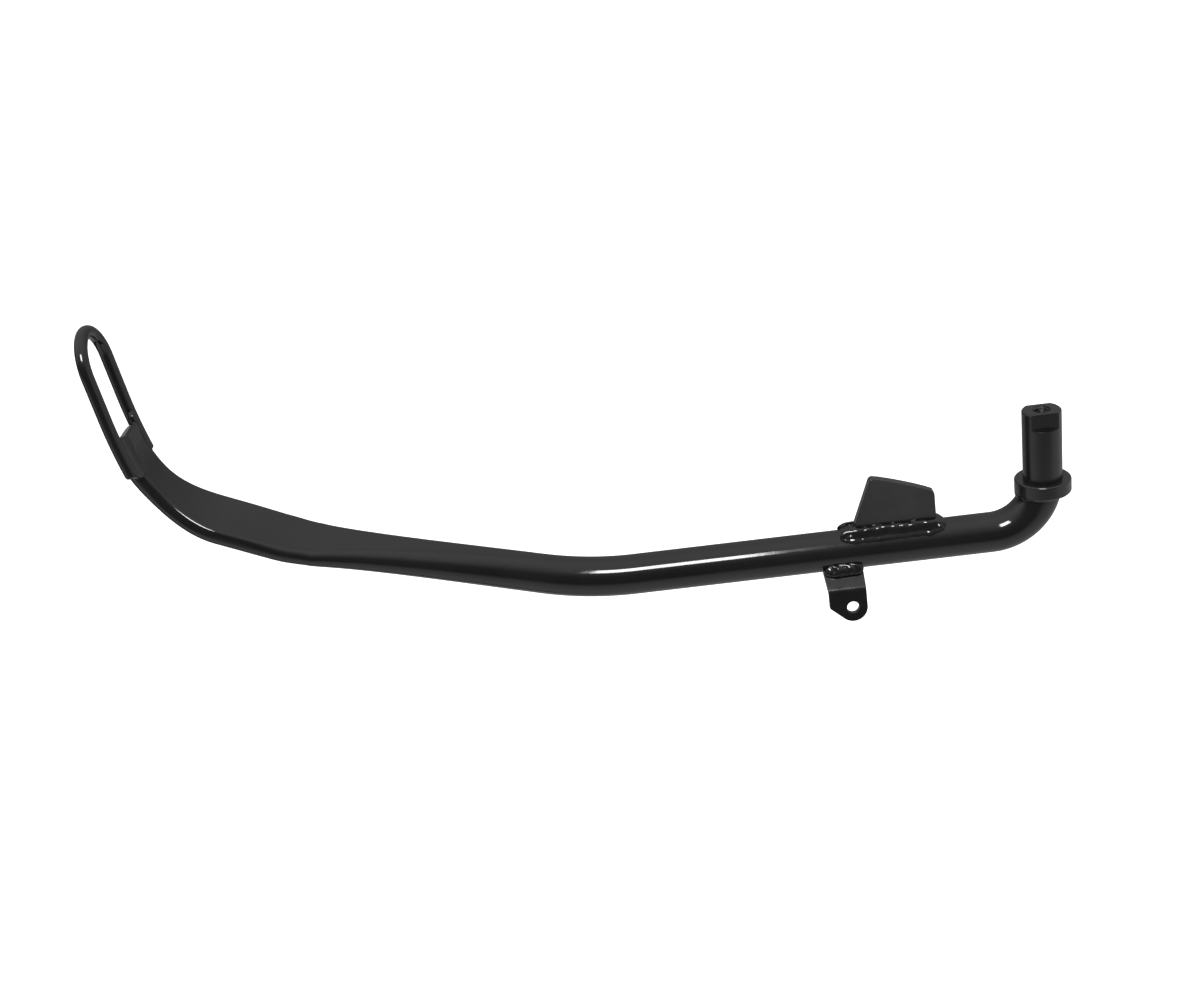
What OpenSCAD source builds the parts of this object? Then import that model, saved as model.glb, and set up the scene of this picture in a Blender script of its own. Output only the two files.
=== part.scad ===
// Side stand leg for a touring motorcycle: a bent round bar, forged flat
// towards the foot, with a turned pivot post, a thrust collar, a stop plate,
// a spring tab and a toe loop welded to it.
// The origin is on the pivot axis, on the collar's thrust face. The pivot
// axis is +Z, the leg runs towards -X and lies in the plane y = 0.

/* [Bar and bends] */
// Diameter of the round bar
bar_d = 19.05; // [16:0.05:22]
// Height of the bar's centreline below the thrust face
bar_drop = 25.35; // [23:0.05:28]
// Centreline radius of the elbow under the collar
elbow_r = 24; // [22:0.5:26]
// Distance of the elbow's arc end from the pivot axis
elbow_shift = 0.7; // [0:0.1:1.5]
// Straight length from the elbow to the first bend
bar_straight = 168.5; // [120:0.5:220]
// Length along the first bend
bend1_len = 44; // [20:1:60]
// Angle of the first bend
bend1_angle = 15.6; // [5:0.1:25]
// Straight length between the first and the second bend
mid_straight = 99.5; // [60:0.5:140]
// Length along the second bend
bend2_len = 28; // [10:1:40]
// Angle of the second bend
bend2_angle = 9.3; // [2:0.1:15]
// Straight length of the blade before the toe curve
blade_straight = 23.5; // [5:0.5:60]
// Length along the toe curve
toe_curve_len = 62; // [50:1:90]
// Angle of the toe curve
toe_curve_angle = 57.3; // [35:0.1:60]
// Straight length at the blade's tip
tip_straight = 3.2; // [1:0.1:15]

/* [Blade] */
// Thickness of the forged blade
blade_t = 8.3; // [7:0.1:10]
// Where the bar starts to flatten, as a share of the first bend
flatten_from = 0.55; // [0:0.05:1]
// How slowly the flattening starts
flatten_power = 1.6; // [1.2:0.1:2.5]
// Extra width of the blade past the forged taper
blade_spread = 3.0; // [0:0.1:4]
// Width of the blade's tip, between the rods of the toe loop
tip_w = 26.2; // [22:0.1:26.4]
// Length over which the blade narrows to its tip
tip_taper = 37; // [25:1:45]

/* [Pivot post] */
// Diameter of the pivot post
post_d = 18; // [17:0.1:19]
// Height of the post above the thrust face
post_h = 33.75; // [28:0.25:40]
// Distance across the post's two flats
flats_af = 13; // [12:0.1:15]
// Height of the flats
flats_h = 7.85; // [5:0.05:10]
// Chamfer round the post's top edge
post_chamfer = 0.6; // [0.3:0.1:1.2]
// Major diameter of the retaining screw's thread
thread_d = 7.94; // [6:0.01:8]
// Depth of the full thread
thread_depth = 19; // [12:1:22]
// Chamfer at the mouth of the tapped hole
thread_chamfer = 0.25; // [0.1:0.05:0.5]

/* [Collar] */
// Outer diameter of the thrust collar
collar_d = 26; // [24:0.5:32]
// Height of the thrust collar
collar_h = 6.9; // [5:0.1:9]
// Diameter of the post's spigot inside the collar
spigot_d = 16; // [12:0.5:16.5]
// Height of the cone from the spigot up to the post
spigot_cone = 1; // [0.5:0.1:1.5]
// Chamfer on the collar's outer edges
collar_chamfer = 0.6; // [0.3:0.1:1]

/* [Stop plate] */
// Thickness of the stop plate
plate_t = 4.8; // [3:0.1:6]
// Distance of the plate's upright edge from the pivot axis
plate_x = 50.6; // [46:0.1:60]
// Height of the plate above the thrust face at its tall corner
plate_tall = 10.2; // [6:0.05:14]
// Height of the plate above the thrust face at its low corner
plate_low = -0.05; // [-3:0.05:4]
// Length of the plate's top edge along the bar
plate_top_len = 29.4; // [22:0.1:34]
// Length of the plate's foot along the bar
plate_foot_len = 39.8; // [36:0.1:46]
// Radius of the plate's rounded corners
plate_corner_r = 2; // [1:0.1:3]
// Rise of the arched top edge above its chord
plate_arch = 0.65; // [0.5:0.05:2]

/* [Spring tab] */
// Thickness of the spring tab's strap
tab_t = 3.2; // [2.5:0.1:4]
// Distance from the pivot axis to the spring hole
tab_x = 93.45; // [85:0.05:105]
// Diameter of the spring hole
tab_hole_d = 5.8; // [5:0.1:7]
// Radius of the tab's rounded end
tab_end_r = 6.8; // [6:0.1:8]
// Width of the strap at its bend
tab_w = 17.6; // [16:0.1:20]
// Extra width of the strap where it meets the bar
tab_flare = 1.2; // [0:0.1:2]
// Length of the upper flange outside the bar
tab_reach = 11; // [9:0.5:14]
// Distance from the bend to the spring hole
tab_hole_drop = 8.9; // [8:0.1:11]
// Slope of the upper flange below level
tab_upper_slope = 42; // [35:1:50]
// Slope of the lower flange below level
tab_lower_slope = 82; // [75:1:90]

/* [Toe loop] */
// Diameter of the toe loop's rod
rod_d = 5.9; // [5:0.05:6.4]
// Distance between the centres of the loop's two legs
loop_w = 32.4; // [31:0.1:34]
// Distance from the blade's tip to the loop's outer end
loop_reach = 50; // [40:0.5:60]
// Straight length of each leg above the blade
loop_straight = 19.4; // [10:0.1:40]
// Length of each leg's slow curve along the blade
loop_tail = 29.6; // [20:0.1:34]
// Radius of the legs' slow curve
loop_tail_r = 243; // [150:1:400]
// Offset of the loop's legs from the blade's middle plane
loop_offset = 0.3; // [0:0.1:1]

/* [Weld beads] */
// Leg length of the fillet beads at the stop plate
plate_bead = 4.6; // [3:0.1:6]
// Leg length of the fillet beads at the spring tab
tab_bead = 3.6; // [2.5:0.1:5]
// Thickness of the bead under the collar
collar_bead = 2.2; // [1.5:0.1:3]
// Radius of the lump of bead in the elbow's inner corner
collar_lump = 2.9; // [2.4:0.1:3.6]
// Radius of the beads between the blade and the toe loop
loop_bead = 3.6; // [3.2:0.1:4]
// Length of the beads between the blade and the toe loop
loop_bead_len = 15; // [10:0.5:18]

/* [Hidden] */
$fn = 64;

bar_r = bar_d / 2;
post_r = post_d / 2;
spigot_r = spigot_d / 2;
collar_r = collar_d / 2;
rod_r = rod_d / 2;
tap_r = thread_d / 2;
// Reach of the blocks that cut the pieces off
far = 200;
// Gap left between a bead and a piece that is not a plain cylinder
bead_gap = 0.04;
paint = [0.06, 0.06, 0.065];
bead_paint = [0.12, 0.12, 0.13];

// ---- The leg's centreline ----
// Heading 0 runs along -X, and a positive heading climbs towards +Z.
function ahead(heading) = [-cos(heading), 0, sin(heading)];
function upward(heading) = [sin(heading), 0, cos(heading)];

// The elbow's arc is cut off by the collar's underside, before it is upright.
elbow_angle = acos(1 - (bar_drop - collar_h) / elbow_r);
elbow_len = elbow_r * elbow_angle * PI / 180;
elbow_top_x = elbow_r * (sin(elbow_angle) - 1) - elbow_shift;

// Each segment is [length, angle turned, number of steps].
segments = [
    [elbow_len, elbow_angle, 12],
    [bar_straight, 0, 1],
    [bend1_len, bend1_angle, 10],
    [mid_straight, 0, 16],
    [bend2_len, bend2_angle, 6],
    [blade_straight, 0, 3],
    [toe_curve_len, toe_curve_angle, 16],
    [tip_straight, 0, 1]
];

// A state on the centreline is [point, heading, distance from the elbow's end].
function arc_chord(length, turn) =
    turn == 0 ? length : length * sin(turn / 2) / (turn * PI / 360);
function step(state, length, turn) = [
    state[0] + arc_chord(length, turn) * ahead(state[1] + turn / 2),
    state[1] + turn,
    state[2] + length
];
function walk(state, seg, n) =
    n == 0 ? [] :
    let (next = step(state, seg[0] / seg[2], seg[1] / seg[2]))
    concat([next], walk(next, seg, n - 1));
function trace(state, segs) =
    len(segs) == 0 ? [] :
    let (part = walk(state, segs[0], segs[0][2]),
         rest = [for (k = [1 : 1 : len(segs) - 1]) segs[k]])
    concat(part, trace(part[len(part) - 1], rest));
leg_start = [[elbow_top_x, 0, -collar_h], -elbow_angle, -elbow_len];
leg_path = concat([leg_start], trace(leg_start, segments));

// ---- The leg's section ----
// The forging keeps the bar's area while it flattens, so the width follows
// from the thickness of a flat section with round edges.
flatten_start = bar_straight + flatten_from * bend1_len;
bend2_start = bar_straight + bend1_len + mid_straight;
flatten_end = bend2_start + bend2_len / 4;
toe_start = bend2_start + bend2_len + blade_straight;
// Length over which the blade's extra width comes in
spread_run = 15;
function ease(t) = let (u = max(0, min(1, t))) u * u * (3 - 2 * u);
function mix(a, b, t) = a * (1 - t) + b * t;
function leg_t(s) =
    let (t = max(0, min(1, (s - flatten_start) / (flatten_end - flatten_start))))
    mix(bar_d, blade_t, pow(t, flatten_power));
function leg_w(s) =
    let (t = leg_t(s),
         even = (PI / 4 * bar_d * bar_d + (1 - PI / 4) * t * t) / t,
         spread = blade_spread * ease((s - flatten_end) / spread_run))
    mix(even + spread, tip_w, ease((s - toe_start) / tip_taper));

// Half of the section's outline: a round edge on the side given by hand.
edge_steps = 16;
// Half the flat left between the two edges where the bar is still round
least_flat = 0.02;
function leg_edge(state, hand) =
    let (t = leg_t(state[2]),
         flat = max(least_flat, (leg_w(state[2]) - t) / 2))
    [for (k = [0 : edge_steps])
        let (a = 180 * k / edge_steps - 90,
             side = hand * (flat + t / 2 * cos(a)),
             lift = hand * t / 2 * sin(a))
        state[0] + [0, side, 0] + lift * upward(state[1])];
function leg_ring(state) = concat(leg_edge(state, 1), leg_edge(state, -1));

// The first ring is slid along the bar onto the collar's underside.
function slide_to(z, point, along) = point + along * (z - point[2]) / along[2];
leg_top_ring = [for (p = leg_ring(leg_start)) slide_to(-collar_h, p, ahead(leg_start[1]))];
leg_rings = concat([leg_top_ring], [for (k = [1 : len(leg_path) - 1]) leg_ring(leg_path[k])]);

// A closed solid through rings that all have the same number of points.
module loft(rings) {
    n = len(rings[0]);
    last = len(rings) - 1;
    sides = [for (i = [0 : last - 1], j = [0 : n - 1])
        let (a = i * n + j, b = i * n + (j + 1) % n)
        each [[a, a + n, b], [b, a + n, b + n]]];
    polyhedron(
        points = [for (ring = rings) each ring],
        faces = concat(
            [[for (j = [0 : n - 1]) j]],
            sides,
            [[for (j = [n - 1 : -1 : 0]) last * n + j]]));
}

module leg_shape() {
    loft(leg_rings);
}

module leg_bar() {
    color(paint) leg_shape();
}

// ---- The round bar beside the elbow, as the welded pieces are cut to it ----
module bar_run() {
    translate([-elbow_r - elbow_shift, 0, -bar_drop])
        rotate([0, -90, 0])
            cylinder(h = bar_straight, r = bar_r);
}

// ---- Pivot post ----
module post_blank() {
    rotate_extrude()
        polygon([
            [0, -collar_h],
            [spigot_r, -collar_h],
            [spigot_r, -spigot_cone],
            [post_r, 0],
            [post_r, post_h - post_chamfer],
            [post_r - post_chamfer, post_h],
            [0, post_h]
        ]);
}

module flat_cut(side) {
    translate([-far / 2, side > 0 ? flats_af / 2 : -flats_af / 2 - far, post_h - flats_h])
        cube([far, far, far]);
}

drill_cone = tap_r / 2;
module tapped_hole() {
    translate([0, 0, post_h - thread_depth])
        cylinder(h = far, r = tap_r);
    // The drill's cone below the thread
    translate([0, 0, post_h - thread_depth - drill_cone])
        cylinder(h = drill_cone, r1 = 0, r2 = tap_r);
    translate([0, 0, post_h - thread_chamfer])
        cylinder(h = thread_chamfer, r1 = tap_r, r2 = tap_r + thread_chamfer);
}

module pivot_post() {
    color(paint)
        difference() {
            post_blank();
            flat_cut(1);
            flat_cut(-1);
            tapped_hole();
        }
}

// ---- Thrust collar and the bead under it ----
module thrust_collar() {
    color(paint)
        rotate_extrude()
            polygon([
                [spigot_r, -collar_h],
                [collar_r - collar_chamfer, -collar_h],
                [collar_r, -collar_h + collar_chamfer],
                [collar_r, -collar_chamfer],
                [collar_r - collar_chamfer, 0],
                [post_r, 0],
                [spigot_r, -spigot_cone]
            ]);
}

// The elbow as the beads round it are cut to it
module elbow_run() {
    translate([-elbow_r - elbow_shift, 0, elbow_r - bar_drop])
        rotate([90, 0, 0])
            rotate([0, 0, -90])
                rotate_extrude(angle = 90)
                    translate([elbow_r, 0])
                        circle(r = bar_r + bead_gap);
}

collar_bead_sides = 24;
module collar_weld() {
    color(bead_paint)
        difference() {
            union() {
                translate([elbow_top_x, 0, -collar_h])
                    rotate_extrude()
                        translate([bar_r, 0])
                            circle(r = collar_bead, $fn = collar_bead_sides);
                // The lump in the elbow's inner corner
                translate([elbow_top_x - bar_r, 0, -collar_h])
                    sphere(r = collar_lump);
            }
            translate([-far / 2, -far / 2, -collar_h])
                cube([far, far, far]);
            elbow_run();
        }
}

// ---- Rounded outlines ----
// The points of a corner's arc of radius r, between the points before and after.
corner_steps = 6;
// Tips the arc's middle to the corner's side
corner_tip = 0.0001;
function unit(v) = v / norm(v);
function corner(before, at, after, r) =
    let (u = unit(before - at),
         v = unit(after - at),
         half = acos(u * v) / 2,
         centre = at + unit(u + v) * r / sin(half),
         first = at + u * r / tan(half) - centre,
         final = at + v * r / tan(half) - centre)
    [for (k = [0 : corner_steps])
        let (t = k / corner_steps)
        centre + r * unit(mix(first, final, t) + corner_tip * unit(at - centre))];

// The points of an arch over the chord from a to b, without its ends.
arch_steps = 8;
function arch(a, b, rise) =
    let (along = b - a,
         out = unit([along[1], -along[0]]))
    [for (k = [1 : arch_steps - 1])
        let (t = k / arch_steps)
        a + along * t + out * rise * 4 * t * (1 - t)];

// ---- Stop plate ----
bar_top = bar_r - bar_drop;
// Depth of the plate's foot below the bar's top, before the bar is cut away
plate_sink = 2;
// Lean of the plate's upright edge over its height
plate_lean = 0.4;
plate_foot = bar_top - plate_sink;
plate_top_post = [-plate_x, plate_low];
plate_top_foot = [-plate_x - plate_top_len, plate_tall];
plate_base_post = [-plate_x + plate_lean, plate_foot];
plate_base_foot = [-plate_x - plate_foot_len, plate_foot];
plate_outline = concat(
    [plate_base_foot, plate_base_post],
    corner(plate_base_post, plate_top_post, plate_top_foot, plate_corner_r),
    arch(plate_top_post, plate_top_foot, plate_arch),
    corner(plate_top_post, plate_top_foot, plate_base_foot, plate_corner_r)
);

module plate_shape() {
    translate([0, plate_t / 2, 0])
        rotate([90, 0, 0])
            linear_extrude(height = plate_t)
                polygon(plate_outline);
}

module stop_plate() {
    color(paint)
        difference() {
            plate_shape();
            bar_run();
        }
}

// ---- Fillet beads along the bar ----
// A bead's section is part of a disc through its two toes, given as [y, z].
bead_r = 5;
function bead_centre(toe_a, toe_b) =
    let (middle = (toe_a + toe_b) / 2,
         half = norm(toe_b - toe_a) / 2,
         along = unit(toe_b - toe_a))
    middle + [along[1], -along[0]] * sqrt(bead_r * bead_r - half * half);

// A point on the bar's surface, at an angle from its top towards the near side.
function bar_point(angle) = [-bar_r * sin(angle), bar_r * cos(angle) - bar_drop];

// A rod with round ends, between two distances from the pivot axis.
module bead_rod(centre, x_from, x_to) {
    length = abs(x_to - x_from) - 2 * bead_r;
    translate([min(x_from, x_to) + bead_r, centre[0], centre[1]]) {
        rotate([0, 90, 0])
            cylinder(h = length, r = bead_r);
        sphere(r = bead_r);
        translate([length, 0, 0])
            sphere(r = bead_r);
    }
}

// ---- Beads round the stop plate ----
// Where a side bead ends on the bar, as an angle from the bar's top
plate_bead_angle = 46;
// How far it climbs the plate, as a share of its leg length
plate_bead_climb = 0.28;
plate_bead_centre = bead_centre(
    bar_point(plate_bead_angle),
    [-plate_t / 2, bar_top + plate_bead_climb * plate_bead]
);
// How far the side beads run past the plate's two ends
plate_bead_past_foot = 6;
plate_bead_past_post = 4;
plate_bead_from = -plate_x - plate_foot_len - plate_bead_past_foot;
plate_bead_to = -plate_x + plate_bead_past_post;
plate_end_bead_r = 0.75 * plate_bead;

module plate_side_rod(hand) {
    mirror([0, hand > 0 ? 1 : 0, 0])
        bead_rod(plate_bead_centre, plate_bead_from, plate_bead_to);
}

module plate_side_bead(hand) {
    difference() {
        plate_side_rod(hand);
        translate([-far, hand > 0 ? -far : 0, -far / 2])
            cube([far, far, far]);
        plate_shape();
        bar_run();
    }
}

module plate_end_bead(x) {
    difference() {
        translate([x, 0, bar_top])
            rotate([90, 0, 0])
                cylinder(h = plate_t, r = plate_end_bead_r, center = true);
        plate_side_rod(1);
        plate_side_rod(-1);
        plate_shape();
        bar_run();
    }
}

module stop_plate_weld_near() {
    color(bead_paint) plate_side_bead(-1);
}

module stop_plate_weld_far() {
    color(bead_paint) plate_side_bead(1);
}

module stop_plate_weld_foot_end() {
    color(bead_paint) plate_end_bead(-plate_x - plate_foot_len);
}

module stop_plate_weld_post_end() {
    color(bead_paint) plate_end_bead(-plate_x);
}

// ---- Spring tab: a strap that stands out of the bar and bends down ----
// A flange's frame starts at the bend: x towards the foot, y down the flange
// and z out of its outer face.
tab_bend_r = bar_r + tab_reach;
module tab_frame(slope) {
    translate([
        -tab_x,
        -tab_bend_r * cos(tab_upper_slope),
        -bar_drop - tab_bend_r * sin(tab_upper_slope)
    ])
        rotate([slope, 0, 0])
            rotate([0, 0, 180])
                children();
}

// The slanted edge runs from the strap's corner to a tangent of its round end.
tab_foot_side = tab_w - tab_end_r;
// How far the strap's corner stays short of the hole's centre
tab_corner_short = 0.5;
// How far the upper flange reaches into the bar before it is cut to it
tab_sink = 2;
tab_corner_drop = tab_hole_drop - tab_corner_short;
tab_slant = atan2(tab_corner_drop - tab_hole_drop, tab_foot_side)
    + acos(tab_end_r / norm([tab_foot_side, tab_corner_drop - tab_hole_drop]));

module tab_lower_flange() {
    tab_frame(tab_lower_slope)
        translate([0, 0, -tab_t])
            linear_extrude(height = tab_t) {
                polygon([
                    [-tab_end_r, 0],
                    [tab_foot_side, 0],
                    [tab_foot_side, tab_corner_drop],
                    [tab_end_r * cos(tab_slant), tab_hole_drop + tab_end_r * sin(tab_slant)],
                    [0, tab_hole_drop],
                    [-tab_end_r, tab_hole_drop]
                ]);
                translate([0, tab_hole_drop])
                    circle(r = tab_end_r);
            }
}

module tab_upper_flange() {
    tab_frame(tab_upper_slope)
        translate([0, 0, -tab_t])
            linear_extrude(height = tab_t)
                polygon([
                    [-tab_end_r, 0],
                    [-tab_end_r, -tab_reach - tab_sink],
                    [tab_foot_side + tab_flare, -tab_reach - tab_sink],
                    [tab_foot_side, 0]
                ]);
}

module tab_shape() {
    difference() {
        union() {
            tab_upper_flange();
            tab_lower_flange();
        }
        tab_frame(tab_lower_slope)
            translate([0, tab_hole_drop, -2 * tab_t])
                cylinder(h = 3 * tab_t, d = tab_hole_d);
        bar_run();
    }
}

module spring_tab() {
    color(paint) tab_shape();
}

// ---- Beads above and below the spring tab ----
// Where the flange's faces meet the bar, as angles from the bar's top
tab_top_angle = 90 + tab_upper_slope;
tab_under_angle = tab_top_angle + asin(tab_t / bar_r);
tab_bead_turn = tab_bead / bar_r * 180 / PI;
// How far the beads run past the strap's two sides
tab_bead_past_foot = 1;
tab_bead_past_post = 0.5;
tab_bead_from = -tab_x - tab_foot_side - tab_bead_past_foot;
tab_bead_to = -tab_x + tab_end_r + tab_bead_past_post;
function flange_point(out, depth) =
    [-cos(tab_upper_slope), -sin(tab_upper_slope)] * (bar_r + out)
    + [sin(tab_upper_slope), -cos(tab_upper_slope)] * depth
    - [0, bar_drop];

module tab_bead_rod(centre, keep_outside) {
    difference() {
        bead_rod(centre, tab_bead_from, tab_bead_to);
        tab_frame(tab_upper_slope)
            translate([-far / 2, -far / 2, keep_outside ? -far - tab_t / 2 : -tab_t / 2])
                cube([far, far, far]);
        tab_shape();
        bar_run();
    }
}

module spring_tab_weld_top() {
    color(bead_paint)
        tab_bead_rod(
            bead_centre(flange_point(tab_bead, 0), bar_point(tab_top_angle - tab_bead_turn)),
            true
        );
}

module spring_tab_weld_under() {
    color(bead_paint)
        tab_bead_rod(
            bead_centre(bar_point(tab_under_angle + tab_bead_turn), flange_point(tab_bead, tab_t)),
            false
        );
}

// ---- Toe loop: one rod bent round, its legs lying beside the blade's tip ----
// The loop's frame starts at the blade's tip: x along the blade, z out of its
// face.
tip = leg_path[len(leg_path) - 1];
arc_x = loop_reach - loop_w / 2 - rod_r;
tail_x = arc_x - loop_straight;
tail_angle = loop_tail / loop_tail_r * 180 / PI;
module toe_frame() {
    translate(tip[0])
        rotate([0, tip[1], 0])
            rotate([0, 0, 180])
                children();
}

// A ring of the rod at a point: facing runs along the rod and across is a
// direction square to it, both in the loop's frame.
rod_sides = 24;
function rod_ring(point, facing, across) =
    let (side = cross(facing, across))
    [for (k = [0 : rod_sides - 1])
        let (a = 360 * k / rod_sides)
        point + rod_r * (cos(a) * across + sin(a) * side)];

// One leg's slow curve, from its end up to the straight: hand is its side
tail_steps = 6;
function tail_ring(k, hand, facing) =
    let (a = tail_angle * k / tail_steps)
    rod_ring(
        [tail_x - loop_tail_r * sin(a), hand * loop_w / 2, loop_offset + loop_tail_r * (1 - cos(a))],
        facing * [cos(a), 0, -sin(a)],
        [sin(a), 0, cos(a)]
    );
loop_steps = 24;
function bow_ring(k) =
    let (a = 180 * k / loop_steps)
    rod_ring(
        [arc_x + loop_w / 2 * sin(a), loop_w / 2 * cos(a), loop_offset],
        [cos(a), -sin(a), 0],
        [0, 0, 1]
    );
loop_rings = concat(
    [for (k = [tail_steps : -1 : 0]) tail_ring(k, 1, 1)],
    [for (k = [0 : loop_steps]) bow_ring(k)],
    [for (k = [0 : tail_steps]) tail_ring(k, -1, -1)]
);

module toe_loop() {
    color(paint) toe_frame() loft(loop_rings);
}

// ---- Beads in the valleys between the blade and the loop's legs ----
toe_curve_r = toe_curve_len / (toe_curve_angle * PI / 180);
bead_turn = loop_bead_len / toe_curve_r * 180 / PI;
// Angles by which the cutters run past the beads
blade_end_past = 8;
rod_end_past = 2;

// A sweep in the leg's plane round a centre above the given distance along the
// blade, from an angle before its lowest point to an angle past it
module sweep(x, r, before, past) {
    translate([x, 0, r])
        rotate([90, 0, 0])
            rotate([0, 0, -90 - before])
                rotate_extrude(angle = before + past)
                    children();
}

// The blade's tip, as the beads on it are cut to it
blade_fit_t = blade_t + 2 * bead_gap;
module blade_end() {
    sweep(-tip_straight, toe_curve_r, bead_turn + blade_end_past, blade_end_past)
        translate([toe_curve_r, 0]) {
            square([blade_fit_t, tip_w - blade_t], center = true);
            for (hand = [-1, 1])
                translate([0, hand * (tip_w - blade_t) / 2])
                    circle(d = blade_fit_t);
        }
}

// The rod's slow curve, as the beads on it are cut to it
module rod_end(hand) {
    translate([0, hand * loop_w / 2, loop_offset])
        sweep(tail_x, loop_tail_r, tail_angle + rod_end_past, 0)
            translate([loop_tail_r, 0])
                circle(r = rod_r + bead_gap);
}

// The bead's centre runs between the blade's edge and the rod, a little
// above the blade's middle plane.
bead_y = tip_w / 2;
bead_rise = 1.3;
module loop_bead_blank(hand) {
    translate([-tip_straight, hand * bead_y, bead_rise])
        rotate([0, bead_turn / 2, 0]) {
            sphere(r = loop_bead);
            rotate([0, -90, 0])
                cylinder(h = loop_bead_len - tip_straight, r = loop_bead);
            translate([tip_straight - loop_bead_len, 0, 0])
                sphere(r = loop_bead);
        }
}

// The hand is the side in the loop's frame: 1 is the near side.
module loop_weld(hand) {
    toe_frame()
        difference() {
            loop_bead_blank(hand);
            blade_end();
            rod_end(hand);
        }
}

module toe_loop_weld_near() {
    color(bead_paint) loop_weld(1);
}

module toe_loop_weld_far() {
    color(bead_paint) loop_weld(-1);
}

leg_bar();
pivot_post();
thrust_collar();
collar_weld();
stop_plate();
stop_plate_weld_near();
stop_plate_weld_far();
stop_plate_weld_foot_end();
stop_plate_weld_post_end();
spring_tab();
spring_tab_weld_top();
spring_tab_weld_under();
toe_loop();
toe_loop_weld_near();
toe_loop_weld_far();
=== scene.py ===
"""Side stand leg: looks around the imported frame. Sizes are in millimetres in
the builders below and are turned to metres when a mesh is made."""

import math

import bmesh
import bpy
from mathutils import Matrix, Vector, noise


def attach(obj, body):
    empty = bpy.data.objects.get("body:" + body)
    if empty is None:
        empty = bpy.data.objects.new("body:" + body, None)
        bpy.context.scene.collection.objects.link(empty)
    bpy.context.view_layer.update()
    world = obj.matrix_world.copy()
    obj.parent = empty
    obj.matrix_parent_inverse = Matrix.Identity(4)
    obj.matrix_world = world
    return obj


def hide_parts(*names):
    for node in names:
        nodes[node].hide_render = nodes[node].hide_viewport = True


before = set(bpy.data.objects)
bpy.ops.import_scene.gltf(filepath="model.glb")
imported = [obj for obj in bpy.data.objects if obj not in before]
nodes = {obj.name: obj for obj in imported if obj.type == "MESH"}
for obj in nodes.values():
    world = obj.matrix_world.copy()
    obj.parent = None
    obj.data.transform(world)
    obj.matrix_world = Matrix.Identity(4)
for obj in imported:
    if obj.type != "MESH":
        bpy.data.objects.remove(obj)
# Blender's start-up objects are cleared first, so that they don't count in the box.
for start_name in ("Cube", "Light", "Camera"):
    start_object = bpy.data.objects.get(start_name)
    if start_object is not None:
        bpy.data.objects.remove(start_object, do_unlink=True)
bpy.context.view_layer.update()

MM = 0.001
PI = math.pi

# ---- Sizes shared with the CAD source; a bend is (length along it, degrees) ----
BAR_R = 9.525
DROP = 25.35
COLLAR_H = 6.9
POST_H = 33.75
ELBOW_R = 24.0
ELBOW_SHIFT = 0.7
STRAIGHT = 168.5
BEND1 = (44.0, 15.6)
MID = 99.5
BEND2 = (28.0, 9.3)
BLADE = 23.5
TOE = (62.0, 57.3)
TIP = 3.2
BLADE_T = 8.3
FLATTEN_FROM = 0.55
FLATTEN_POWER = 1.6
SPREAD = 3.0
TIP_W = 26.2
TAPER = 37.0
ROD_R = 2.95
LOOP_W = 32.4
LOOP_REACH = 50.0
LOOP_STRAIGHT = 19.4
LOOP_TAIL = 29.6
LOOP_TAIL_R = 243.0
LOOP_OFFSET = 0.3
PLATE_T = 4.8
PLATE_X = 50.6
PLATE_FOOT = 39.8
TAB_T = 3.2
TAB_X = 93.45
TAB_UPPER = 42.0
TAB_FOOT_SIDE = 10.8
TAB_END_R = 6.8
THREAD_R = 3.97
THREAD_PITCH = 1.411
THREAD_DEPTH = 19.0
BAR_TOP = BAR_R - DROP


def rad(a):
    return math.radians(a)


def ahead(h):
    """Along the leg towards the toe at a heading of h degrees above level."""
    return Vector((-math.cos(rad(h)), 0, math.sin(rad(h))))


def upward(h):
    """Out of the leg's upper side at a heading of h degrees."""
    return Vector((math.sin(rad(h)), 0, math.cos(rad(h))))


def ease(t):
    t = max(0.0, min(1.0, t))
    return t * t * (3 - 2 * t)


def mix(a, b, t):
    return a * (1 - t) + b * t


# ---- Mesh helpers ----
def place(name, data, body=None):
    """An object of the given data in the scene, riding on a body if one is named."""
    ob = bpy.data.objects.new(name, data)
    bpy.context.scene.collection.objects.link(ob)
    if body:
        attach(ob, body)
    return ob


def new_object(name, verts, faces, body="root"):
    """A piece from vertices in millimetres, its faces turned outwards."""
    me = bpy.data.meshes.new(name)
    me.from_pydata([tuple(c * MM for c in v) for v in verts], [], faces)
    bm = bmesh.new()
    bm.from_mesh(me)
    bmesh.ops.recalc_face_normals(bm, faces=bm.faces)
    bm.to_mesh(me)
    bm.free()
    return place(name, me, body)


def smooth(ob, sharp_deg=35.0, weighted=True):
    """Smooth shading with real creases, and flat faces kept flat."""
    me = ob.data
    bm = bmesh.new()
    bm.from_mesh(me)
    for f in bm.faces:
        f.smooth = True
    for e in bm.edges:
        e.smooth = not (len(e.link_faces) == 2 and e.calc_face_angle(0.0) > rad(sharp_deg))
    bm.to_mesh(me)
    bm.free()
    if weighted:
        m = ob.modifiers.new("weighted", "WEIGHTED_NORMAL")
        m.keep_sharp = True
        m.weight = 60
    return ob


def skin(rings, closed=True, cap_start=True, cap_end=True):
    """Quads between rings that all have the same number of points."""
    n = len(rings[0])
    verts = [p for ring in rings for p in ring]
    faces = []
    for i in range(len(rings) - 1):
        for j in range(n if closed else n - 1):
            a, b = i * n + j, i * n + (j + 1) % n
            faces.append((a, b, b + n, a + n))
    if cap_start:
        faces.append(tuple(range(n - 1, -1, -1)))
    if cap_end:
        faces.append(tuple(range((len(rings) - 1) * n, len(rings) * n)))
    return verts, faces


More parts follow.
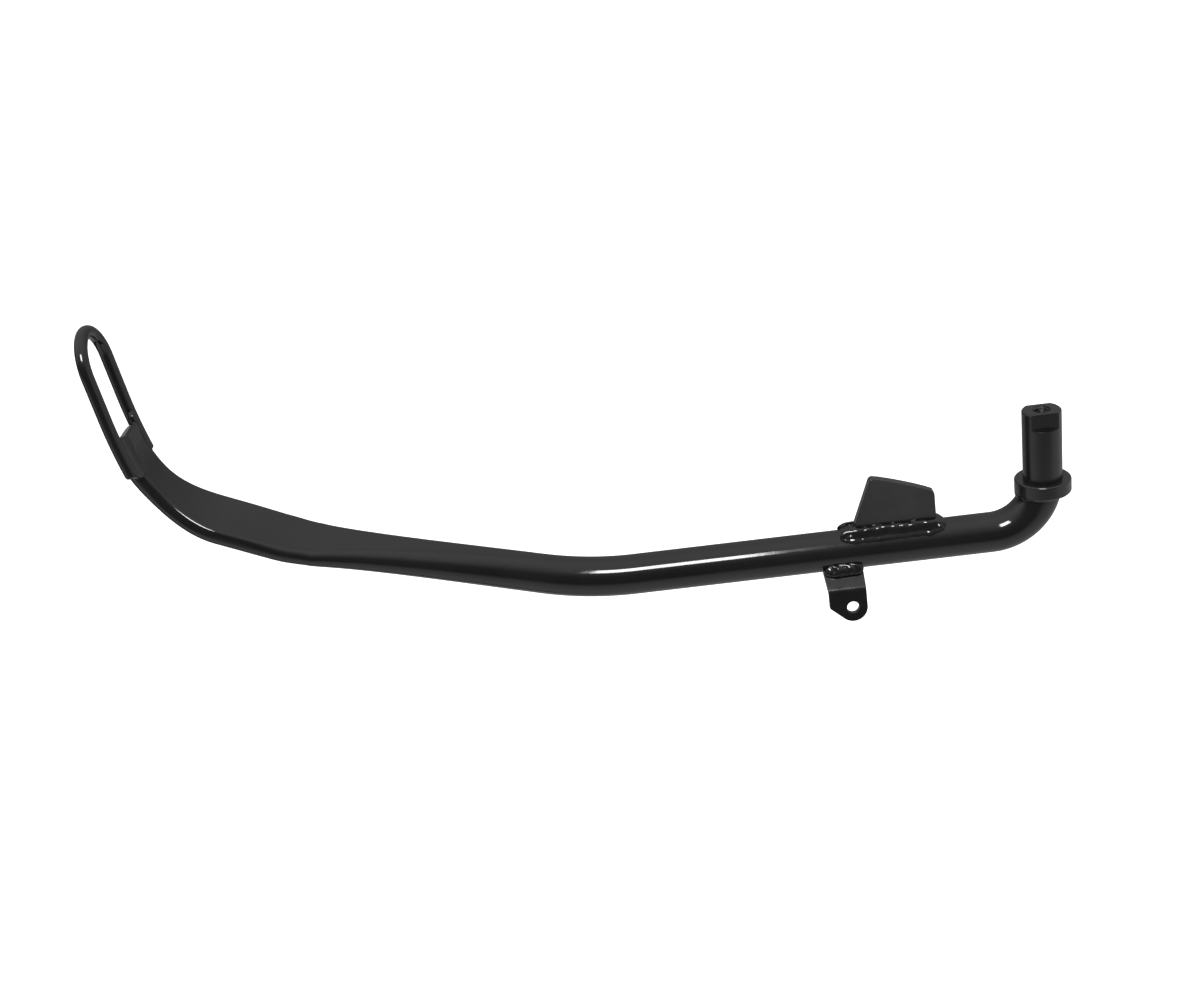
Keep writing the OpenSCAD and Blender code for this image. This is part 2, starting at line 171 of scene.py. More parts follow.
def bevel(bm, edges, offset_mm, segments):
    bmesh.ops.bevel(bm, geom=edges, offset=offset_mm * MM, segments=segments, profile=0.5,
                    affect="EDGES", clamp_overlap=True)


def solid_copy(node, name, bevel_mm, on_bend=None, bend_mm=0.0):
    """A cleaned copy of a CAD node's mesh with its edges rounded, and before that the
    edges that on_bend picks, to a larger size."""
    merge_within, flat_within, least_edge_angle = 3e-6, rad(0.8), rad(24.0)
    src = nodes[node].data
    bm = bmesh.new()
    vs = [bm.verts.new(v.co) for v in src.vertices]
    for p in src.polygons:
        try:
            bm.faces.new([vs[i] for i in p.vertices])
        except ValueError:
            pass
    bmesh.ops.remove_doubles(bm, verts=bm.verts, dist=merge_within)
    bmesh.ops.dissolve_limit(bm, angle_limit=flat_within, verts=bm.verts, edges=bm.edges)
    bmesh.ops.recalc_face_normals(bm, faces=bm.faces)
    if on_bend:
        bevel(bm, [e for e in bm.edges if len(e.link_faces) == 2 and on_bend(e)], bend_mm, 6)
    sharp = [e for e in bm.edges if len(e.link_faces) == 2 and e.calc_face_angle(0.0) > least_edge_angle]
    bevel(bm, sharp, bevel_mm, 3)
    me = bpy.data.meshes.new(name)
    bm.to_mesh(me)
    bm.free()
    ob = place(name, me, "root")
    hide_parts(node)
    return smooth(ob, 40.0)


# ---- Node helpers ----
def noise_node(nt, coords, scale, detail, roughness=0.5):
    n = nt.nodes.new("ShaderNodeTexNoise")
    n.inputs["Scale"].default_value = scale
    n.inputs["Detail"].default_value = detail
    n.inputs["Roughness"].default_value = roughness
    nt.links.new(coords, n.inputs["Vector"])
    return n.outputs["Fac"]


def ramp_node(nt, fac, stops):
    """A colour ramp through (position, colour) stops in rising order."""
    r = nt.nodes.new("ShaderNodeValToRGB")
    els = r.color_ramp.elements
    els[0].position, els[0].color = stops[0]
    els[1].position, els[1].color = stops[-1]
    for position, color in stops[1:-1]:
        els.new(position).color = color
    nt.links.new(fac, r.inputs["Fac"])
    return r.outputs["Color"]


def range_node(nt, value, source, target, kind="LINEAR"):
    """Maps the source range onto the target range, and holds its ends outside it."""
    r = nt.nodes.new("ShaderNodeMapRange")
    r.interpolation_type = kind
    for socket, v in zip(("From Min", "From Max", "To Min", "To Max"), source + target):
        r.inputs[socket].default_value = v
    nt.links.new(value, r.inputs["Value"])
    return r.outputs["Result"]


def math_node(nt, operation, *values):
    """A Math node, each of whose values is a number or another node's output."""
    m = nt.nodes.new("ShaderNodeMath")
    m.operation = operation
    for socket, value in zip(m.inputs, values):
        if isinstance(value, float):
            socket.default_value = value
        else:
            nt.links.new(value, socket)
    return m.outputs[0]


def mix_color(nt, factor, a, b):
    """From the output a to the plain colour b."""
    m = nt.nodes.new("ShaderNodeMix")
    m.data_type = "RGBA"
    nt.links.new(factor, m.inputs["Factor"])
    nt.links.new(a, m.inputs["A"])
    m.inputs["B"].default_value = b
    return m.outputs["Result"]


# ---- Materials ----
BLACK, WHITE = (0, 0, 0, 1), (1, 1, 1, 1)


def new_material(name):
    """A material, its node tree, its Principled shader and its object coordinates."""
    m = bpy.data.materials.new(name)
    m.use_nodes = True
    nt = m.node_tree
    coords = nt.nodes.new("ShaderNodeTexCoord").outputs["Object"]
    return m, nt, nt.nodes["Principled BSDF"], coords


def paint(name, base, rough, peel, peel_size):
    """Gloss black paint over steel: a faint orange peel, slight changes in gloss
    and colour from spray to spray, and very small specks in the film. peel is the
    orange peel's height in millimetres, and peel_size the size of its cells, in
    millimetres too."""
    m, nt, bsdf, coords = new_material(name)

    # Colour: clouded by spray passes, with fine specks
    def tint(factor):
        return tuple(c * factor for c in base) + (1.0,)

    cloud = noise_node(nt, coords, 38.0, 4.0)
    speck = noise_node(nt, coords, 2600.0, 2.0, 0.6)
    clouded = ramp_node(nt, cloud, [(0.35, tint(0.82)), (0.65, tint(1.18))])
    specks = ramp_node(nt, speck, [(0.66, BLACK), (0.74, WHITE)])
    nt.links.new(mix_color(nt, specks, clouded, tint(1.7)), bsdf.inputs["Base Color"])

    # Gloss: slightly uneven
    gloss = noise_node(nt, coords, 120.0, 3.0)
    nt.links.new(range_node(nt, gloss, (0.3, 0.7), (rough * 0.8, rough * 1.25)), bsdf.inputs["Roughness"])

    # Orange peel in two sizes
    fine = noise_node(nt, coords, 1000.0 / peel_size, 2.0, 0.45)
    coarse = noise_node(nt, coords, 260.0 / peel_size, 2.0, 0.5)
    bump = nt.nodes.new("ShaderNodeBump")
    bump.inputs["Strength"].default_value = 1.0
    bump.inputs["Distance"].default_value = peel * MM
    nt.links.new(math_node(nt, "MULTIPLY_ADD", coarse, 1.6, fine), bump.inputs["Height"])
    nt.links.new(bump.outputs["Normal"], bsdf.inputs["Normal"])
    return m


def steel(name):
    """Oiled bare thread under thin paint."""
    m, nt, bsdf, coords = new_material(name)
    bsdf.inputs["Metallic"].default_value = 1.0
    oil = noise_node(nt, coords, 700.0, 3.0)
    color = ramp_node(nt, oil, [(0.35, (0.022, 0.022, 0.023, 1)), (0.7, (0.105, 0.10, 0.095, 1))])
    nt.links.new(color, bsdf.inputs["Base Color"])
    nt.links.new(range_node(nt, oil, (0.0, 1.0), (0.18, 0.42)), bsdf.inputs["Roughness"])
    return m


LEG_PAINT = paint("leg_gloss_black", (0.0042, 0.0042, 0.0043), 0.085, 0.0035, 1.0)
# The plate's base is lighter than the leg's, though the whole stand wears one black coat: painted sheen that
# lightens the plate's faces.
PLATE_SHEEN_PAINT = paint("plate_gloss_black_painted_sheen", (0.0150, 0.0150, 0.0150), 0.12, 0.0045, 0.9)
TAB_PAINT = paint("tab_gloss_black", (0.0040, 0.0040, 0.0039), 0.17, 0.0040, 0.9)
POST_PAINT = paint("post_satin_black", (0.0060, 0.0060, 0.0060), 0.20, 0.0030, 0.7)
WELD_PAINT = paint("weld_gloss_black", (0.0042, 0.0042, 0.0043), 0.06, 0.0060, 1.3)
THREAD_STEEL = steel("thread_dark_steel")


def dress(ob, mat):
    """Gives a piece its material."""
    ob.data.materials.clear()
    ob.data.materials.append(mat)
    return ob


# The CAD nodes behind the pieces carry the same paints.
NODE_PAINT = {"leg_bar": LEG_PAINT, "toe_loop": LEG_PAINT, "pivot_post": POST_PAINT,
              "thrust_collar": POST_PAINT, "stop_plate": PLATE_SHEEN_PAINT, "spring_tab": TAB_PAINT}
for node_name, node_object in nodes.items():
    for i in range(len(node_object.data.materials)):
        node_object.material_slots[i].material = NODE_PAINT.get(node_name, WELD_PAINT)


# ---- The leg: round bar, bends and forged blade ----
ELBOW_ANGLE = math.degrees(math.acos(1 - (DROP - COLLAR_H) / ELBOW_R))
ELBOW_LEN = ELBOW_R * rad(ELBOW_ANGLE)
ELBOW_TOP_X = ELBOW_R * (math.sin(rad(ELBOW_ANGLE)) - 1) - ELBOW_SHIFT
FLAT_START = STRAIGHT + FLATTEN_FROM * BEND1[0]
BEND2_START = STRAIGHT + BEND1[0] + MID
FLAT_END = BEND2_START + BEND2[0] / 4
TOE_START = BEND2_START + BEND2[0] + BLADE


def leg_t(s):
    """The bar's thickness at a distance s along the leg."""
    t = max(0.0, min(1.0, (s - FLAT_START) / (FLAT_END - FLAT_START)))
    return mix(2 * BAR_R, BLADE_T, t ** FLATTEN_POWER)


def leg_w(s):
    """Its width there: forging keeps the section's area, then the tip narrows."""
    t = leg_t(s)
    even = (PI * BAR_R * BAR_R + (1 - PI / 4) * t * t) / t
    return mix(even + SPREAD * ease((s - FLAT_END) / 15), TIP_W, ease((s - TOE_START) / TAPER))


def trace():
    """States (point, heading, distance) along the centreline, from the collar down."""
    segs = [(ELBOW_LEN, ELBOW_ANGLE, 30), (STRAIGHT, 0, 24), (BEND1[0], BEND1[1], 24), (MID, 0, 50),
            (BEND2[0], BEND2[1], 16), (BLADE, 0, 12), (TOE[0], TOE[1], 48), (TIP, 0, 4)]
    p, h, s = Vector((ELBOW_TOP_X, 0, -COLLAR_H)), -ELBOW_ANGLE, -ELBOW_LEN
    out = [(p.copy(), h, s)]
    for length, turn, n in segs:
        for _ in range(n):
            dl, dt = length / n, turn / n
            chord = dl if dt == 0 else dl * math.sin(rad(dt / 2)) / rad(dt / 2)
            p = p + chord * ahead(h + dt / 2)
            h += dt
            s += dl
            out.append((p.copy(), h, s))
    return out


PATH = trace()


# The upper corner of the blade's edges grows squarer than half round towards the toe.
EDGE_POWER = 0.55
EDGE_RUN = 40.0
# The tip's rounded edge, how far it is ground back, and the steps in a rounding.
TIP_EDGE = 1.4
TIP_GROUND = 4.6
ROUND_STEPS = 5


def leg_ring(state, inset=0.0, steps=36):
    """The section's outline: two flats and two edges, drawn in by inset."""
    p, h, s = state
    t, w = leg_t(s), leg_w(s)
    flat = max(0.02, (w - t) / 2)
    r = t / 2 - inset
    up = upward(h)
    pts = []
    square = mix(1.0, EDGE_POWER, ease((s - FLAT_END) / EDGE_RUN))
    for hand in (1, -1):
        for k in range(steps + 1):
            a = PI * k / steps - PI / 2
            rise = hand * math.sin(a)
            power = square if rise > 0 else 1.0
            out, tall = math.cos(a) if k % steps else 0.0, math.copysign(abs(rise) ** power, rise)
            pts.append((hand * (flat + r * out ** power), r * tall))
        for f in (0.97, 0.0, -0.97):
            pts.append((hand * flat * f, hand * r))
    return [p + Vector((0, y, 0)) + up * z for y, z in pts]


def make_leg():
    # The first ring lies flat under the collar, and the last few make way for the tip.
    d = ahead(PATH[0][1])
    rings = [[q + d * ((-COLLAR_H - q.z) / d.z) for q in leg_ring(PATH[0])]]
    rings += [leg_ring(s) for s in PATH[1:-8]]
    # The tip is ground back towards its underside, and its edge is rounded.
    p, h, s = PATH[-1]

    def tip_ring(back, inset):
        return [q - ahead(h) * TIP_GROUND * (0.5 - (q - p).dot(upward(h)) / BLADE_T)
                for q in leg_ring((p - ahead(h) * back, h, s), inset=inset)]

    for k in range(0, ROUND_STEPS + 1):
        a = PI / 2 * k / ROUND_STEPS
        rings.append(tip_ring(TIP_EDGE * (1 - math.sin(a)), TIP_EDGE * (1 - math.cos(a))))
    rings.append(tip_ring(0.0, TIP_EDGE + 0.12))
    verts, faces = skin(rings)
    ob = new_object("leg_skin", verts, faces)
    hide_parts("leg_bar")
    smooth(ob, 38.0)
    return dress(ob, LEG_PAINT)


make_leg()


# ---- Toe loop ----
TIP_P, TIP_H, _ = PATH[-1]
ARC_X = LOOP_REACH - LOOP_W / 2 - ROD_R
TAIL_X = ARC_X - LOOP_STRAIGHT
TAIL_A = math.degrees(LOOP_TAIL / LOOP_TAIL_R)
TAIL_STEPS = 20
ARC_STEPS = 48
ROD_EDGE = 1.2


def toe_point(x, y, z):
    """From the loop's frame: x along the blade, y to the near side, z out of its face."""
    return TIP_P + ahead(TIP_H) * x + Vector((0, -y, 0)) + upward(TIP_H) * z


def toe_dir(x, y, z):
    """The same for a direction."""
    return ahead(TIP_H) * x + Vector((0, -y, 0)) + upward(TIP_H) * z


def loop_states():
    """(point, direction, up) along the rod, from its near end round to its far end."""
    near = []
    for k in range(TAIL_STEPS, -1, -1):
        a = rad(TAIL_A * k / TAIL_STEPS)
        near.append(((TAIL_X - LOOP_TAIL_R * math.sin(a), LOOP_W / 2,
                      LOOP_OFFSET + LOOP_TAIL_R * (1 - math.cos(a))),
                     (math.cos(a), 0, -math.sin(a)), (math.sin(a), 0, math.cos(a))))
    for k in range(1, 6):
        near.append(((TAIL_X + LOOP_STRAIGHT * k / 6, LOOP_W / 2, LOOP_OFFSET), (1, 0, 0), (0, 0, 1)))
    arc = []
    for k in range(0, ARC_STEPS + 1):
        a = PI * k / ARC_STEPS
        arc.append(((ARC_X + LOOP_W / 2 * math.sin(a), LOOP_W / 2 * math.cos(a), LOOP_OFFSET),
                    (math.cos(a), -math.sin(a), 0), (0, 0, 1)))
    far = [((x, -y, z), (-dx, -dy, -dz), up) for (x, y, z), (dx, dy, dz), up in near[::-1]]
    return near + arc + far


def make_loop():
    states = loop_states()
    sides = 36
    rings = []

    def ring(state, r, back=0.0):
        f, c = toe_dir(*state[1]), toe_dir(*state[2])
        side = f.cross(c)
        p = toe_point(*state[0]) - f * back
        return [p + c * (r * math.cos(2 * PI * k / sides)) + side * (r * math.sin(2 * PI * k / sides))
                for k in range(sides)]

    for k in range(0, ROUND_STEPS + 1):
        a = PI / 2 * k / ROUND_STEPS
        rings.append(ring(states[0], ROD_R - ROD_EDGE * (1 - math.sin(a)), -ROD_EDGE * (1 - math.cos(a))))
    rings += [ring(s, ROD_R) for s in states[2:-2]]
    for k in range(ROUND_STEPS, -1, -1):
        a = PI / 2 * k / ROUND_STEPS
        rings.append(ring(states[-1], ROD_R - ROD_EDGE * (1 - math.sin(a)), ROD_EDGE * (1 - math.cos(a))))
    verts, faces = skin(rings)
    ob = new_object("toe_loop_skin", verts, faces)
    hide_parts("toe_loop")
    smooth(ob, 50.0)
    return dress(ob, LEG_PAINT)


make_loop()

# ---- Post, collar, plate and tab: the CAD shapes with worked edges ----
dress(solid_copy("pivot_post", "pivot_post_skin", 0.22), POST_PAINT)
dress(solid_copy("thrust_collar", "thrust_collar_skin", 0.28), POST_PAINT)
dress(solid_copy("stop_plate", "stop_plate_skin", 0.45), PLATE_SHEEN_PAINT)


def on_tab_bend(e):
    """Whether an edge is one of the strap's bend lines: they run along X."""
    d = e.verts[1].co - e.verts[0].co
    if d.length < 5 * MM or abs(d.x) < 0.99 * d.length:
        return False
    return 30.0 < math.degrees(e.calc_face_angle(0.0)) < 50.0


dress(solid_copy("spring_tab", "spring_tab_skin", 0.3, on_tab_bend, 1.5), TAB_PAINT)


# ---- Tapped hole's thread ----
THREAD_CREST = 0.70
THREAD_GAP = 0.02
SLEEVE_GAP = 0.002
SLEEVE_FLOOR = 0.3
# How much of each turn is flat at its crest and at its root.
THREAD_FLATS = (0.12, 0.90)


def make_thread():
    """A threaded sleeve with a floor, closed all round, that lines the tapped hole."""
    around, per_turn = 72, 14
    top, bottom = POST_H, POST_H - THREAD_DEPTH + 0.4
    dz = THREAD_PITCH / per_turn
    root, outer = THREAD_R - THREAD_GAP, THREAD_R - SLEEVE_GAP
    low, high = THREAD_FLATS
    rings = []
    for i in range(int((top - bottom) / dz) + 1):
        z = bottom + i * dz
        # The chamfer at the mouth cuts the first crest away.
        mouth = root - max(0.0, (top - 0.25 - z)) * 1.25
        ring = []
        for k in range(around):
            a = 2 * PI * k / around
            saw = max(low, min(high, abs(2 * ((z / THREAD_PITCH - k / around) % 1.0) - 1)))
            r = mix(root, THREAD_R - THREAD_CREST, (saw - low) / (high - low))
            r = max(r, min(root, mouth))
            ring.append(Vector((r * math.cos(a), r * math.sin(a), z)))
        rings.append(ring)
    for z in (rings[-1][0].z, bottom - SLEEVE_FLOOR):
        rings.append([Vector((outer * math.cos(2 * PI * k / around),
                              outer * math.sin(2 * PI * k / around), z)) for k in range(around)])
    verts, faces = skin(rings)
    ob = new_object("post_thread", verts, faces)
    smooth(ob, 60.0, weighted=False)
    return dress(ob, THREAD_STEEL)


make_thread()


# ---- Weld beads ----
def n3(v, seed):
    """Smooth noise at a point, with a field of its own for each seed."""
    return noise.noise(Vector((v[0] + seed * 17.3, v[1] - seed * 5.1, v[2] + seed * 9.7)))


# A bead's section as (across, height) points, across from -1 to 1. This one is a plain crown.
CROWN = [(-1, 0), (-0.86, 0.50), (-0.6, 0.86), (-0.2, 1.0), (0.2, 1.0), (0.6, 0.86), (0.86, 0.50),
         (1, 0)]
# The length of a step along a bead, and the points across its underside.
BEAD_STEP = 0.22
BEAD_UNDER = 4


def section(profile, v):
    """The profile's height at v, which runs from -1 to 1 across the bead."""
    for (v0, h0), (v1, h1) in zip(profile, profile[1:]):
        if v <= v1:
            return mix(h0, h1, (v - v0) / (v1 - v0))
    return profile[-1][1]


def bead(name, replaced, path, half, height, pitch=2.6, depth=0.9, seed=1, ripple=0.1, lump=0.2,
         taper=3.2, loop=False, chevron=0.8, wave=0.18, profile=CROWN, across=27):
    """A weld bead over a path of (point, out direction), closed all round. Its section
    follows the profile. Domed ripples mark where the pool froze, and slow waves make it
    lumpy. half is half its width, pitch the spacing of the ripples, depth how far it
    reaches under the path, and taper the length over which its ends close."""
    pts = [p for p, _ in path]
    cum = [0.0]
    for a, b in zip(pts, pts[1:]):
        cum.append(cum[-1] + (b - a).length)
    total = cum[-1]
    count = max(8, int(total / BEAD_STEP))
    # The section, smoothed over its neighbours
    table = []
    for k in range(across):
        v = -1 + 2 * k / (across - 1)
        table.append(sum(section(profile, max(-1, min(1, v + q * 0.035))) for q in (-1, 0, 1)) / 3)
    rings = []
    for i in range(count + (0 if loop else 1)):
        u = total * i / count
        j = min(max(k for k in range(len(cum)) if cum[k] <= u + 1e-9), len(pts) - 2)
        f = (u - cum[j]) / (cum[j + 1] - cum[j])
        p = pts[j].lerp(pts[j + 1], f)
        d = (pts[j + 1] - pts[j]).normalized()
        o = path[j][1].lerp(path[j + 1][1], f)
        o = (o - d * o.dot(d)).normalized()
        side = d.cross(o)
        end = 1.0
        if not loop:
            end = max(0.03, math.sqrt(max(0.0, 1 - (1 - min(1.0, min(u, total - u) / taper)) ** 2)))
        thick = 1 + lump * n3((u * 0.3, 0, 0), seed)
        drift = 0.35 * n3((u * 0.2, 5.0, 1.0), seed) * end
        ring = []
        for k in range(across):
            v = -1 + 2 * k / (across - 1)
            edge = 1 - v * v
            phase = (u + chevron * pitch * v * v) / pitch + 0.45 * n3((u * 0.22, v * 0.6, 3.0), seed)
            dome = math.sqrt(max(0.0, 1 - 0.92 * (2 * (phase % 1.0) - 1) ** 2))
            h = height * thick * table[k] * (1 - ripple + ripple * dome)
            h += wave * edge * n3((u * 0.36, v * 0.9, 7.0), seed)
            w = half * (1 + 0.10 * n3((u * 0.35, 4.0 if v > 0 else -4.0, 0), seed))
            ring.append(p + side * (w * v * end + drift) + o * (h * end))
        for k in range(BEAD_UNDER):
            v = 1 - 2 * (k + 0.5) / BEAD_UNDER
            ring.append(p + side * (half * end * v * 0.9 + drift) - o * depth * end)
        rings.append(ring)
    if loop:
        rings.append(rings[0])
    verts, faces = skin(rings, cap_start=not loop, cap_end=not loop)
    ob = new_object(name, verts, faces)
    if loop:
        bm = bmesh.new()
        bm.from_mesh(ob.data)
        bmesh.ops.remove_doubles(bm, verts=bm.verts, dist=1e-6)
        bm.to_mesh(ob.data)
        bm.free()
    if replaced:
        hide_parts(replaced)
    smooth(ob, 75.0, weighted=False)
    return dress(ob, WELD_PAINT)


def bar_point(angle, r=BAR_R):
    """On the bar's section: an angle from its top towards the near side."""
    return Vector((0, -r * math.sin(rad(angle)), r * math.cos(rad(angle)) - DROP))


def at_x(p, x):
    return Vector((x, p.y, p.z))


# The beads along the plate: where they end on the bar and on the plate, and at both ends.
PLATE_BEAD_ANGLE = 56
PLATE_BEAD_CLIMB = 2.8
PLATE_BEAD_FOOT = -PLATE_X - PLATE_FOOT - 5.6
PLATE_BEAD_POST = -PLATE_X + 3.6


def plate_path(hand, x0, x1):
    """From x0 to x1 beside the plate, on its near side (hand 1) or far side (hand -1),
    with half the bead's width."""
    a = bar_point(PLATE_BEAD_ANGLE, BAR_R - 0.1)
    b = Vector((0, -PLATE_T / 2, BAR_TOP + PLATE_BEAD_CLIMB))
    mid = (a + b) / 2
    d = (b - a).normalized()
    n = 24
    path = [(Vector((mix(x0, x1, i / n), mid.y * hand, mid.z)), Vector((0, -d.z * hand, d.y)))
            for i in range(n + 1)]
    return path, (b - a).length / 2


near_path, plate_half = plate_path(1, PLATE_BEAD_FOOT, PLATE_BEAD_POST)
far_path, _ = plate_path(-1, PLATE_BEAD_POST, PLATE_BEAD_FOOT)
# The bead stands proud beside the plate, drops steeply and flares onto the bar.
FILLET = [(-1, 0), (-0.8, 0.62), (-0.62, 0.93), (-0.45, 1.0), (-0.2, 0.84), (0.1, 0.52), (0.33, 0.33),
          (0.5, 0.32), (0.64, 0.28), (0.82, 0.15), (1, 0)]
for hand, path, seed in (("near", near_path, 3), ("far", far_path, 5)):
    bead("stop_plate_bead_" + hand, "stop_plate_weld_" + hand, path, plate_half, 1.5, seed=seed, taper=7.0,
         profile=FILLET, depth=2.2, pitch=3.6, ripple=0.07, wave=0.22, across=33)


def end_path(x, lean):
    """Across the bar at a plate's end, from the near side to the far side."""
    path = []
    for i in range(13):
        a = 40 - 80 * i / 12
        p = bar_point(a, BAR_R + 0.35)
        o = Vector((lean, -math.sin(rad(a)) * 0.8, math.cos(rad(a)))).normalized()
        path.append((Vector((x, p.y, p.z)), o))
    return path


FOOT_END, POST_END = -PLATE_X - PLATE_FOOT - 1.9, -PLATE_X + 1.7
for end, path, half, height, seed in (("foot", end_path(FOOT_END, -0.35), 3.9, 1.3, 8),
                                      ("post", end_path(POST_END, 0.45), 3.1, 1.6, 9)):
    bead("stop_plate_bead_%s_end" % end, "stop_plate_weld_%s_end" % end, path, half, height,
         seed=seed, taper=5.0, pitch=3.4, depth=1.4, wave=0.15)

# Beads over and under the spring tab: from a point on the strap to a point on the bar
TAB_BEAD_FOOT, TAB_BEAD_POST = -TAB_X - TAB_FOOT_SIDE - 0.6, -TAB_X + TAB_END_R + 0.2
along_strap = Vector((0, -math.cos(rad(TAB_UPPER)), -math.sin(rad(TAB_UPPER))))
off_strap = Vector((0, -math.sin(rad(TAB_UPPER)), math.cos(rad(TAB_UPPER))))
strap_root = Vector((0, 0, -DROP)) + along_strap * BAR_R


def tab_path(mid, out):
    """Along the tab's root, from its foot side to its post side."""
    return [(at_x(mid, mix(TAB_BEAD_FOOT, TAB_BEAD_POST, i / 10)), out) for i in range(11)]


on_strap, on_bar = strap_root + along_strap * 3.7, bar_point(90 + TAB_UPPER - 22)
bead("spring_tab_bead_top", "spring_tab_weld_top",
     tab_path((on_strap + on_bar) / 2, (off_strap * 0.72 + Vector((0, -0.69, 0.0))).normalized()),
     (on_strap - on_bar).length / 2 + 0.5, 1.75, seed=12, pitch=4.6, taper=4.5, ripple=0.38,
     chevron=0.9, wave=0.35)
on_strap = strap_root - off_strap * TAB_T + along_strap * 3.3
on_bar = bar_point(90 + TAB_UPPER + math.degrees(math.asin(TAB_T / BAR_R)) + 20)
gap = (on_bar - on_strap).normalized()
bead("spring_tab_bead_under", "spring_tab_weld_under",
     tab_path((on_strap + on_bar) / 2, Vector((0, gap.z, -gap.y)) * (1 if gap.y > 0 else -1)),
     (on_strap - on_bar).length / 2, 1.0, seed=14, pitch=3.4, taper=3.0)


def collar_ring(angle, r, drop, lean):
    """A point of a bead round the bar under the collar, and its way out."""
    c, s = math.cos(angle), math.sin(angle)
    return Vector((ELBOW_TOP_X + r * c, r * s, -COLLAR_H - drop)), Vector((c, s, lean)).normalized()


bead("collar_bead", "collar_weld", [collar_ring(2 * PI * i / 72, BAR_R + 0.55, 0.5, -0.9) for i in range(73)],
     1.55, 0.8, seed=21, loop=True, pitch=3.2, depth=1.0, ripple=0.08, lump=0.12, wave=0.10)
bead("collar_bead_lump", None,
     [collar_ring(PI + rad(mix(-48, 48, i / 8)), BAR_R + 0.7, 0.9, -0.7) for i in range(9)],
     1.9, 1.3, seed=24, pitch=2.0, taper=4.0, lump=0.3)

# Beads between the blade's tip and the toe loop
TOE_R = TOE[0] / rad(TOE[1])


def toe_bead_path(hand, lift, length, start):
    """Back from the tip along the blade's near (hand 1) or far (hand -1) edge, from start
    to length, at a height of lift over its middle."""
    path = []
    for i in range(15):
        back = mix(start, length, i / 14)
        # along the blade's own curve, back from the tip
        a = max(0.0, (back - TIP)) / TOE_R
        x = -min(back, TIP) - TOE_R * math.sin(a)
        z = TOE_R * (1 - math.cos(a))
        up = Vector((math.sin(a), 0, math.cos(a)))
        p = toe_point(x + up.x * lift, hand * (TIP_W / 2 + 0.1), z + up.z * lift)
        path.append((p, toe_dir(up.x, hand * 0.12, up.z)))
    return path


# The bead runs down to the rod from a ridge on the blade.
RIDGE = [(-1, 0), (-0.86, 0.62), (-0.74, 0.94), (-0.64, 1.0), (-0.54, 0.92), (-0.36, 0.68), (-0.1, 0.48),
         (0.3, 0.36), (0.7, 0.28), (1, 0)]
bead("toe_loop_bead_near", "toe_loop_weld_near", toe_bead_path(1, 2.8, 21.4, -0.5), 4.8, 2.9,
     seed=31, pitch=6.0, taper=3.4, depth=2.4, ripple=0.04, wave=0.3, profile=RIDGE)
bead("toe_loop_bead_far", "toe_loop_weld_far", toe_bead_path(-1, 2.6, 19.0, -4.0), 4.4, 1.9,
     seed=33, pitch=6.0, taper=5.0, depth=2.4, ripple=0.04, wave=0.3,
     profile=[(-v, h) for v, h in RIDGE[::-1]])

# ---- Floor, in metres ----
FLOOR_HALF, FLOOR_Z = 30.0, -0.40
floor_mesh = bpy.data.meshes.new("floor")
floor_mesh.from_pydata([(x * FLOOR_HALF, y * FLOOR_HALF, FLOOR_Z)
                        for x, y in ((-1, -1), (1, -1), (1, 1), (-1, 1))], [], [(0, 1, 2, 3)])
floor = place("floor", floor_mesh)
floor.visible_glossy = False
floor_material = bpy.data.materials.new("pale_floor")
floor_material.use_nodes = True
floor_shader = floor_material.node_tree.nodes["Principled BSDF"]
floor_shader.inputs["Base Color"].default_value = (0.9, 0.9, 0.9, 1)
floor_shader.inputs["Roughness"].default_value = 0.9
floor_shader.inputs["Emission Color"].default_value = WHITE
floor_shader.inputs["Emission Strength"].default_value = 0.75
floor_mesh.materials.append(floor_material)

# ---- The room ----
# How bright it is in each direction: degrees from level at the back, over the top, to the
# front and under, and the brightness there.
SKY = [
    (0, 0.20),  # the back wall
    (25, 0.35),
    (85, 1.00),  # overhead
    (110, 0.95),
    (160, 0.17),  # the dim room in front
    (195, 0.10),
    (200, 0.14),
    (215, 0.56),  # the pale table
    (240, 0.68),
    (300, 0.50),
    (340, 0.25),  # the table's far edge
    (360, 0.20),
]
# A dark doorway on the left: its direction, the half widths inside and outside its soft
# edge in radians, how dark it is, and the heights between which it ends.
DOOR_AT = 0.31
DOOR_EDGE = (0.12, 0.42)
DOOR_DARK = 0.03
DOOR_TOP = (0.15, 0.45)
# A pale wall closes the right.
WALL_EDGE = (0.55, 0.9)
WALL_GREY = 0.62


def grey(v):
    return (v, v, v, 1)


world = bpy.data.worlds.new("studio")
bpy.context.scene.world = world
world.use_nodes = True
nt = world.node_tree
nt.nodes.clear()
direction = nt.nodes.new("ShaderNodeSeparateXYZ")
nt.links.new(nt.nodes.new("ShaderNodeTexCoord").outputs["Generated"], direction.inputs[0])
dir_x, dir_y, dir_z = (direction.outputs[axis_name] for axis_name in "XYZ")

turns = math_node(nt, "DIVIDE", math_node(nt, "ARCTAN2", dir_z, dir_y), 2 * PI)
sky = ramp_node(nt, math_node(nt, "WRAP", turns, 1.0, 0.0), [(a / 360, grey(v)) for a, v in SKY])
azimuth = math_node(nt, "ARCTAN2", dir_y, math_node(nt, "MULTIPLY", dir_x, -1.0))
off_door = math_node(nt, "ABSOLUTE", math_node(nt, "SUBTRACT", azimuth, DOOR_AT))
beside = range_node(nt, off_door, DOOR_EDGE, (DOOR_DARK, 1.0), "SMOOTHSTEP")
above = range_node(nt, dir_z, DOOR_TOP, (0.0, 1.0), "SMOOTHSTEP")
wall = range_node(nt, dir_x, WALL_EDGE, (0.0, 1.0), "SMOOTHSTEP")

